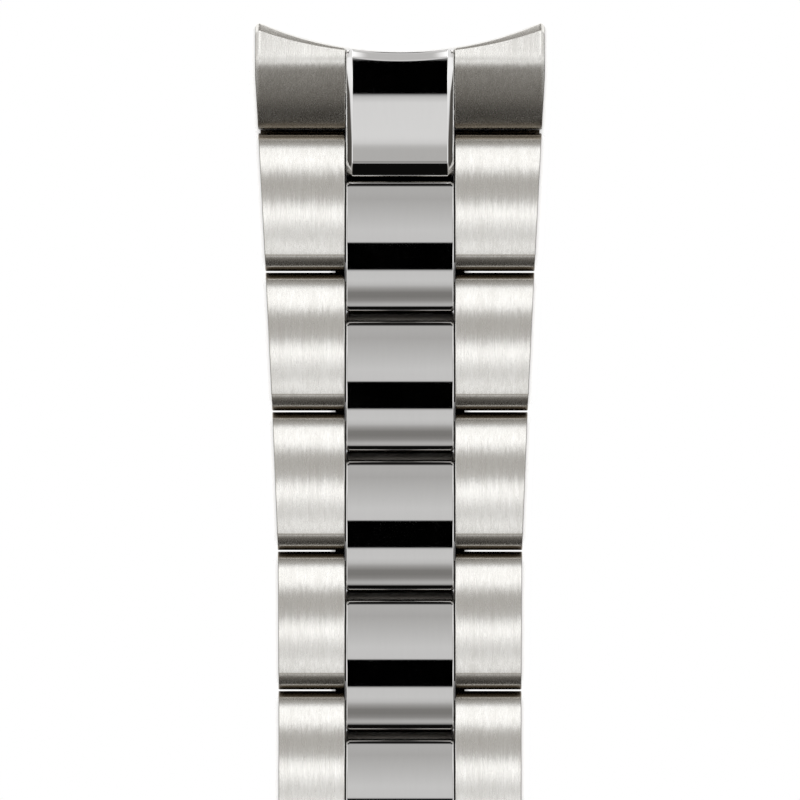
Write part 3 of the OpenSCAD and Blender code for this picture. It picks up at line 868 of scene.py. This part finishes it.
def wing_loop(x):
    """Side view of a wing at x, up to the hollow end and its bevel."""
    tip = LUG_W / 2
    end = min(case_y(x), HORN_DEPTH)
    if x > tip - HORN_CORNER:
        over = min(HORN_CORNER, x - (tip - HORN_CORNER))
        rounded = math.sqrt(HORN_CORNER ** 2 - over ** 2) * HORN_EASE
        end = min(end, HORN_DEPTH - HORN_CORNER + rounded)
    share = max(0.0, min(1.0, (x - SLOT_W / 2) / (tip - SLOT_W / 2)))
    band = WING_BAND + WING_BAND_GROWTH * share ** WING_BAND_POWER
    y0 = WING_YS[0]
    top_y = end - band
    ys = y0 + (top_y - y0) * np.linspace(0, 1, 44)
    zs = np.interp(ys, WING_YS, WING_ZS)
    z_top = zs[-1]
    z_rim = z_top - band * WING_BAND_DROP
    soft = WING_SOFT
    low = [(WING_FOOT_Y, 0.0), (end - WING_CUT, 0.0), (end, WING_CUT)]
    # the bevel, each of its edges softened by a point on either side
    rim = [
        (end, z_rim - soft), (end - soft * 0.4, z_rim + soft * 0.3),
        (end - soft * 1.6, z_rim + soft * 1.5), (top_y + soft * 1.2, z_top - soft),
    ]
    top = list(zip(ys, zs))[::-1]
    foot = arc(WING_FOOT_Y, WING_HEEL_Z, WING_FOOT_R, 90 - WING_START, 180, 18)
    foot += arc(WING_FOOT_Y, WING_FOOT_R, WING_FOOT_R, 180, 270, 12)
    return np.array(low + rim + top + foot[1:-1])


def wing_side_x(y):
    """x of a wing's outer side, from the first row's width up to the lug width."""
    near, full = FIRST_W / 2, LUG_W / 2
    return near + (full - near) * min(max(y, 0.0), SIDE_FULL_AT) / SIDE_FULL_AT


def wing_stations():
    """The loops across a wing; those near its outer side keep their distance from it."""
    inner_x, full = SLOT_W / 2, LUG_W / 2

    def station(x, inset, from_outer=None):
        loop = wing_loop(x)
        p = loop - normals_of(loop) * inset
        if from_outer is None:
            share = (x - inner_x) / (full - inner_x)
            xs = [inner_x + (wing_side_x(y) - inner_x) * share for y in p[:, 0]]
        else:
            xs = [wing_side_x(y) - from_outer for y in p[:, 0]]
        return np.column_stack([xs, p])

    flat = np.linspace(inner_x + WING_FLAT_FROM, full - WING_FLAT_TO, 12)
    stations = [station(inner_x + depth, inset) for depth, inset in rim_steps(RIM_R)]
    stations += [station(x, 0) for x in (inner_x + RIM_R + RIM_RUN, *flat)]
    stations += [station(full - depth, 0, depth) for depth in WING_OUTER_DEPTHS]
    for depth, inset in rim_steps(OUTSIDE_RIM_R)[::-1]:
        stations.append(station(full - depth, inset, depth))
    return np.array(stations)


def wing_shade():
    """Painted gap shade of a wing's profile, which fades out a little above its foot."""
    loop = wing_loop(WING_SAMPLE_X)
    shade = gap_shade(loop, start=58.0, full=74.0)
    shade[loop[:, 0] > WING_UNSHADED_Y] = 0
    above = (loop[:, 1] > WING_HEEL_Z) & (loop[:, 0] > WING_LOW_Y + NEAR)
    fade = np.clip((WING_FOOT_SHADE_Y - loop[above, 0]) / WING_FOOT_SHADE_FADE, 0, 1)
    shade[above] = WING_FOOT_SHADE * fade
    return shade


def add_bridge(bm, uv, side, bore):
    """The block below the centre piece that joins the two wings."""
    reach = SLOT_W / 2 + BRIDGE_OVERLAP
    cut = BRIDGE_CUT
    stations = []
    for x in np.linspace(-reach, reach, 13):
        end = case_y(x)
        loop = [
            (BRIDGE_AT + cut, 0.0), (end - cut, 0.0), (end, cut), (end, BRIDGE_TOP - cut),
            (end - cut, BRIDGE_TOP), (BRIDGE_AT + cut, BRIDGE_TOP),
            (BRIDGE_AT, BRIDGE_TOP - cut), (BRIDGE_AT, cut),
        ]
        stations.append([(x, y, z) for y, z in loop])
    place, flip = placer(side, 1, 1)
    add_loft(bm, uv, np.array(stations), [bore], flat_ends(-reach, reach), place, flip)


def make_end_body(side, name):
    inner_x = SLOT_W / 2

    def cap_x(end, y):
        return wing_side_x(y) if end else inner_x

    bore = (LUG_BORE_AT, LUG_BORE_Z, LUG_BORE_R)
    holes = [(WING_END_Y, WING_END_R, FIX_R), bore]
    stations = wing_stations()
    # painted shade on the wings' ends and above their foot
    shade = wing_shade()
    lip_x = inner_x + LIP_SIDE, FIRST_W / 2 - WING_LIP_SHORT
    bm, uv = start_mesh()
    for hand in (-1, 1):
        place, flip = placer(side, 1, hand)
        add_loft(bm, uv, stations, holes, cap_x, place, flip, rims=RIM_BANDS, painted_shade=shade)
        add_lip(bm, uv, place, flip, *lip_x, WING_LIP_ROOT)
    add_bridge(bm, uv, side, bore)
    body = f"end_link_{side}"
    new_object(bm, name + "_brushed", BRUSHED_SET, body, name)


def insert_loop(x):
    """Side view of the raised centre piece at x."""
    end = case_y(x)
    y0 = INSERT_YS[0]
    crease = end - INSERT_RIM
    before, after = INSERT_CREASE
    ys = np.concatenate([
        y0 + (crease - before - y0) * np.linspace(0, 1, 70),
        np.linspace(crease - after, end - INSERT_EDGE_R, 6),
    ])
    zs = np.interp(ys, INSERT_YS, INSERT_ZS)
    zs = zs - np.clip(ys - crease, 0, None) * math.tan(math.radians(INSERT_RIM_TILT))
    top = list(zip(ys, zs))[::-1]
    edge = arc(
        end - INSERT_EDGE_R, zs[-1] - INSERT_EDGE_R, INSERT_EDGE_R, 0, INSERT_EDGE_TURN, 6
    )
    fall = math.tan(math.radians(INSERT_FALL_TILT)) * INSERT_FALL
    nose = corner(
        y0 - INSERT_FALL, zs[0] - fall, INSERT_FALL_TILT, INSERT_CORNER_Y, INSERT_TURN,
        INSERT_CORNER_R, 14, 90 - INSERT_LEAN,
    )
    y_end = -AXIS_IN - INSERT_REACH
    nose_y, nose_z = nose[-1]
    nose.append((y_end, nose_z - (nose_y - y_end) / math.tan(math.radians(INSERT_LEAN))))
    foot = AXIS_Z - TONGUE_REACH
    low = math.degrees(math.asin((foot - AXIS_Z) / INSERT_REACH))
    tongue = arc(-AXIS_IN, AXIS_Z, INSERT_REACH, 180, 180 - low, 14)
    bottom = [
        (INSERT_BACK - INSERT_CUT, foot), (INSERT_BACK, foot + INSERT_CUT),
        (INSERT_BACK, INSERT_SHELF_Z), (end - INSERT_CUT, INSERT_SHELF_Z),
        (end, INSERT_SHELF_Z + INSERT_CUT),
    ]
    return np.array(bottom + edge + top + nose + tongue)


def insert_bevel_steps():
    """Depth from the face and inset of a bevel that is slightly round across its width."""
    low_tilt, top_tilt = INSERT_BEVEL_TILTS
    width, soft = INSERT_BEVEL, INSERT_SOFT
    depths = np.linspace(0, width, 11)
    tilts = np.radians(low_tilt + (top_tilt - low_tilt) * depths / width)
    rise = np.tan((tilts[1:] + tilts[:-1]) / 2) * np.diff(depths)
    insets = np.concatenate([np.cumsum(rise[::-1])[::-1], [0.0]])
    steps = [(0.0, insets[0] + soft)]
    steps += [(d + 0.4 * soft, i) for d, i in zip(depths[:-1], insets[:-1])]
    steps += [(width - 0.4 * soft, 0.6 * soft), (width + soft, 0.0), (width + 3 * soft, 0.0)]
    return steps


def make_end_center(side, name):
    def station(x, inset):
        loop = insert_loop(x)
        out = normals_of(loop)
        share = np.clip(out[:, 1] * INSERT_BEVEL_GAIN + INSERT_BEVEL_SHIFT, 0, 1)
        low = loop[:, 1] < INSERT_TOP - INSERT_HOLLOW_DROP
        share[(loop[:, 0] > case_y(x) - NEAR) & low] = 0
        p = loop - out * (inset * share)[:, None]
        return np.column_stack([np.full(len(p), x), p])

    steps = insert_bevel_steps()
    half = CENTER_W / 2
    start = half - steps[-1][0]
    stations = [station(-half + depth, inset) for depth, inset in steps]
    stations += [station(x, 0) for x in np.linspace(-start, start, 13)[1:-1]]
    stations += [station(half - depth, inset) for depth, inset in steps[::-1]]
    holes = [(-AXIS_IN, AXIS_Z, PIVOT_R + RUN_GAP), (WING_END_Y, WING_END_R, FIX_R)]
    bm, uv = start_mesh()
    place, flip = placer(side, 1, 1)
    add_loft(bm, uv, np.array(stations), holes, flat_ends(-half, half), place, flip)
    body = f"end_link_{side}"
    new_object(bm, name + "_polished", POLISHED_END_LIT_SET, body, name)


for side in (12, 6):
    make_end_body(side, f"end_link_{side}_body")
    make_end_center(side, f"end_link_{side}_center")
    for k in range(1, ROWS[side] + 1):
        make_outer(side, k, -1, f"link_{side}_{k}_outer_left")
        make_outer(side, k, 1, f"link_{side}_{k}_outer_right")
        make_center(side, k, f"link_{side}_{k}_center")


# springs of the buttons and of the spring bar

BUTTON_WIRE = 0.16
BAR_WIRE = 0.12
SPRING_TURNS = 5
WIRE_SIDES = 10
TURN_STEPS = 28


def add_coil(bm, center, r, wire, turns, length):
    """A closed coil of round wire that runs from center by length along x."""
    steps = TURN_STEPS * turns
    half_wire = math.copysign(wire / 2, length)
    rings = []
    for s in range(steps + 1):
        a = 2 * math.pi * turns * s / steps
        out = Vector((0, math.cos(a), math.sin(a)))
        ahead = Vector((length / (2 * math.pi * turns), -r * math.sin(a), r * math.cos(a)))
        side = ahead.cross(out).normalized()
        x = center[0] + half_wire + (length - 2 * half_wire) * s / steps
        middle = Vector((x, center[1], center[2])) + out * r
        ring = []
        for n in range(WIRE_SIDES):
            b = 2 * math.pi * n / WIRE_SIDES
            point = middle + (out * math.cos(b) + side * math.sin(b)) * (wire / 2)
            ring.append(bm.verts.new(point * MM))
        rings.append(ring)
    for one, two in zip(rings, rings[1:]):
        for n in range(WIRE_SIDES):
            m = (n + 1) % WIRE_SIDES
            bm.faces.new((one[n], one[m], two[m], two[n])).smooth = True
    bm.faces.new(rings[0][::-1])
    bm.faces.new(rings[-1])
    bmesh.ops.recalc_face_normals(bm, faces=bm.faces)


def make_spring(name, node, wire, x_fixed, x_free):
    """A coil along x from its fixed end to its free end, which rides the clasp cover."""
    low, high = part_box(node)
    y, z = ((low[i] + high[i]) / 2 / MM for i in (1, 2))
    r = (high[2] - low[2]) / 2 / MM - wire / 2
    length = x_free - x_fixed
    bm = start_mesh()[0]
    add_coil(bm, (x_fixed, y, z), r, wire, SPRING_TURNS, length)
    spring = new_object(bm, name, [SPRING], "clasp_cover", node)
    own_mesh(spring)


for hand, word in ((-1, "left"), (1, "right")):
    low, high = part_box(f"button_spring_{word}")
    near, far = sorted((abs(low[0]) / MM, abs(high[0]) / MM))
    make_spring(
        f"button_spring_{word}_coil", f"button_spring_{word}", BUTTON_WIRE,
        hand * near, hand * far,
    )
    bar_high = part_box("bar_spring")[1]
    make_spring(
        f"bar_spring_{word}_coil", "bar_spring", BAR_WIRE,
        0.0, hand * bar_high[0] / MM,
    )


# the solids that show as they are: their steel, and the width and steps of their softened edges

BEVEL_ANGLE = 35
PIN_LOOK = (PIN, 0.04, 2)
CAD_LOOKS = {
    "clasp_cover": (BRUSHED_CAD, 0.14, 3), "adjuster_link": (BRUSHED_CAD, 0.08, 2),
    "blade_outer": (BLADE, 0.08, 2), "blade_inner": (BLADE, 0.08, 2),
    "catch_post": (POLISHED, 0.04, 2),
    "push_button_left": (POLISHED, 0.08, 3), "push_button_right": (POLISHED, 0.08, 3),
}


def dress_solid(obj, material, width, segments):
    for slot in obj.material_slots:
        slot.material = material
    bevel = obj.modifiers.new("softened edges", "BEVEL")
    bevel.width = width * MM
    bevel.segments = segments
    bevel.limit_method = "ANGLE"
    bevel.angle_limit = math.radians(BEVEL_ANGLE)
    bevel.use_clamp_overlap = True
    bevel.harden_normals = True
    bevel.miter_outer = "MITER_ARC"


for name, obj in frame["nodes"].items():
    if not obj.hide_render:
        dress_solid(obj, *CAD_LOOKS.get(name, PIN_LOOK))


# studio

# the floor in metres, a hair below the strap
FLOOR_HALF = 1.5
FLOOR_Z = -0.00002

# what the camera looks straight down at, how wide its picture is there and how far away it
# stands, in metres; its sensor in millimetres
VIEW_Y = 0.04466
VIEW_Z = 0.0022
VIEW_WIDTH = 0.05241
CAMERA_AWAY = 1.5
CLIP_NEAR = 0.1
CLIP_FAR = 10
SENSOR_W = 36

# how bright the floor glows to the camera and in reflections, and how light its grey is
GLOW_SEEN = 0.78
GLOW_MIRRORED = 0.6
FLOOR_GREY = 0.8

# reach in millimetres of the shading next to the strap, seen directly and in reflections
CONTACT_REACH = 0.5
MIRRORED_REACH = 5.0
AO_SAMPLES = 8

# the share of open sky from which the floor lets the camera see through it
CLEAR_FROM = 0.75


def floor_material():
    m = bpy.data.materials.new("floor_white")
    m.use_nodes = True
    tree = m.node_tree
    tree.nodes.clear()
    path = add_node(tree, "ShaderNodeLightPath").outputs

    def open_share(reach):
        above = add_node(tree, "ShaderNodeAmbientOcclusion", samples=AO_SAMPLES)
        above.inputs["Distance"].default_value = reach * MM
        return above.outputs["AO"]

    mirrored = math_node(tree, "MAXIMUM", path["Is Glossy Ray"], path["Is Transmission Ray"])
    mirrored = math_node(tree, "MULTIPLY", mirrored, GLOW_MIRRORED)
    mirrored = math_node(tree, "MULTIPLY", mirrored, open_share(MIRRORED_REACH))
    seen = math_node(tree, "MULTIPLY", path["Is Camera Ray"], GLOW_SEEN)
    seen = math_node(tree, "MULTIPLY_ADD", seen, open_share(CONTACT_REACH), mirrored)
    glow = add_node(tree, "ShaderNodeEmission")
    glow.inputs["Color"].default_value = (1, 1, 1, 1)
    tree.links.new(seen, glow.inputs["Strength"])
    matte = add_node(tree, "ShaderNodeBsdfDiffuse")
    matte.inputs["Color"].default_value = (FLOOR_GREY, FLOOR_GREY, FLOOR_GREY, 1)
    both = add_node(tree, "ShaderNodeAddShader")
    tree.links.new(glow.outputs[0], both.inputs[0])
    tree.links.new(matte.outputs[0], both.inputs[1])

    # away from the contact shading the floor is clear, so that a posed part that hangs
    # below it stays in view, and the world is white there
    gain = 1 / (1 - CLEAR_FROM)
    lit = math_node(tree, "MULTIPLY_ADD", open_share(CONTACT_REACH), gain, -CLEAR_FROM * gain)
    lit = math_node(tree, "MAXIMUM", lit, 0.0)
    lit = math_node(tree, "MULTIPLY", path["Is Camera Ray"], lit)
    below = add_node(tree, "ShaderNodeNewGeometry").outputs["Backfacing"]
    clear = math_node(tree, "MAXIMUM", lit, below)
    through = add_node(tree, "ShaderNodeBsdfTransparent")
    out = add_node(tree, "ShaderNodeOutputMaterial")
    tree.links.new(mix_shaders(tree, clear, both, through), out.inputs["Surface"])
    return m


def make_floor():
    bm = bmesh.new()
    corners = [(-1, -1), (1, -1), (1, 1), (-1, 1)]
    bm.faces.new([bm.verts.new((x * FLOOR_HALF, y * FLOOR_HALF, FLOOR_Z)) for x, y in corners])
    mesh = bpy.data.meshes.new("floor")
    bm.to_mesh(mesh)
    bm.free()
    mesh.materials.append(floor_material())
    floor = bpy.data.objects.new("floor", mesh)
    bpy.context.scene.collection.objects.link(floor)


# brightness of the studio by its tilt from straight overhead towards +y, in degrees:
# first along the middle, where the polished links look, then further and further aside
MIDDLE = [
    (-90, 0.004), (-33.4, 0.004), (-32.2, 0.50), (-31.3, 0.56), (-29, 0.31), (-26.8, 0.24),
    (-24.6, 0.25), (-22.4, 0.41), (-20.3, 0.65), (-18, 0.73), (-12.7, 0.71), (-12.5, 0.0),
    (2.2, 0.0), (2.4, 0.71), (9, 0.73), (26, 0.51), (30, 0.54), (33, 0.54), (35, 0.01),
    (84, 0.01), (88, 0.3), (90, 0.55),
]
BESIDE = [
    (-90, 0.05), (-72, 0.035), (-60, 0.045), (-46, 0.12), (-38, 0.34), (-31, 0.82),
    (-27.4, 1.14), (-24, 1.26), (-20.8, 0.94), (-17.5, 0.82), (-14.3, 0.92), (-10, 1.36),
    (-5.7, 1.62), (-1.4, 1.28), (0.7, 0.80), (2.8, 0.48), (9.3, 0.41), (13.3, 0.41),
    (15.5, 0.54), (17.8, 1.05), (20, 1.48), (25, 1.54), (30, 1.36), (41, 0.95), (50, 0.62),
    (62, 0.46), (75, 0.36), (88, 0.2), (90, 0.2),
]
AROUND = [
    (-90, 0.35), (-60, 0.45), (-30, 0.7), (0, 0.8), (30, 0.8), (60, 0.65), (90, 0.6),
]
LEVEL = [(-90, 0.05), (-35, 0.08), (-28, 0.85), (0, 1.0), (40, 0.9), (90, 0.6)]
SPAN = 180.0

# how warm the dim parts of a ramp are, and at what share of a ray's direction along x, to
# either side, the ramp starts and is full
MIDDLE_WARMTH = 0.8
ZONES = [(BESIDE, 1.9, 0.035, 0.06), (AROUND, 1.5, 0.50, 0.68), (LEVEL, 1.5, 0.86, 0.91)]
WARM_TINT = (0.04, -0.02, -0.10)
ROOM_STRENGTH = 2.0


def ramp(tree, factor, marks, warmth):
    """The colours of one zone, divided by the room's strength."""
    n = add_node(tree, "ShaderNodeValToRGB")
    n.color_ramp.interpolation = "LINEAR"
    elements = n.color_ramp.elements
    while len(elements) < len(marks):
        elements.new(0.5)
    for element, (angle, level) in zip(elements, marks):
        element.position = angle / SPAN + 0.5
        warm = max(0.0, 1 - level) ** 2 * warmth
        element.color = (*[level / ROOM_STRENGTH * (1 + t * warm) for t in WARM_TINT], 1)
    tree.links.new(factor, n.inputs["Fac"])
    return n.outputs["Color"]


def make_world():
    world = bpy.data.worlds.new("studio")
    bpy.context.scene.world = world
    world.use_nodes = True
    tree = world.node_tree
    tree.nodes.clear()
    split = add_node(tree, "ShaderNodeSeparateXYZ")
    coords = add_node(tree, "ShaderNodeTexCoord").outputs["Generated"]
    tree.links.new(coords, split.inputs[0])
    x, y, z = split.outputs
    tilt = math_node(tree, "ARCTAN2", y, z)
    factor = math_node(tree, "MULTIPLY_ADD", tilt, 180 / math.pi / SPAN, 0.5, clamp=True)
    aside = math_node(tree, "ABSOLUTE", x)
    colour = ramp(tree, factor, MIDDLE, MIDDLE_WARMTH)
    for marks, warmth, start, full in ZONES:
        share = range_node(tree, aside, start, full, 0.0, 1.0, smooth=True)
        colour = mix_node(tree, share, colour, ramp(tree, factor, marks, warmth))
    room = add_node(tree, "ShaderNodeBackground")
    room.inputs["Strength"].default_value = ROOM_STRENGTH
    tree.links.new(colour, room.inputs["Color"])
    white = add_node(tree, "ShaderNodeBackground")
    white.inputs["Color"].default_value = (1, 1, 1, 1)
    white.inputs["Strength"].default_value = 1.0
    seen = add_node(tree, "ShaderNodeLightPath").outputs["Is Camera Ray"]
    out = add_node(tree, "ShaderNodeOutputWorld")
    tree.links.new(mix_shaders(tree, seen, room, white), out.inputs["Surface"])


def make_camera():
    data = bpy.data.cameras.new("camera")
    camera = bpy.data.objects.new("camera", data)
    bpy.context.scene.collection.objects.link(camera)
    camera.location = (0, VIEW_Y, VIEW_Z + CAMERA_AWAY)
    camera.rotation_euler = (0, 0, 0)
    data.sensor_width = SENSOR_W
    data.lens = SENSOR_W * CAMERA_AWAY / VIEW_WIDTH
    data.clip_start = CLIP_NEAR
    data.clip_end = CLIP_FAR
    bpy.context.scene.camera = camera


make_floor()
make_world()
make_camera()
bpy.context.scene.view_settings.view_transform = "Standard"
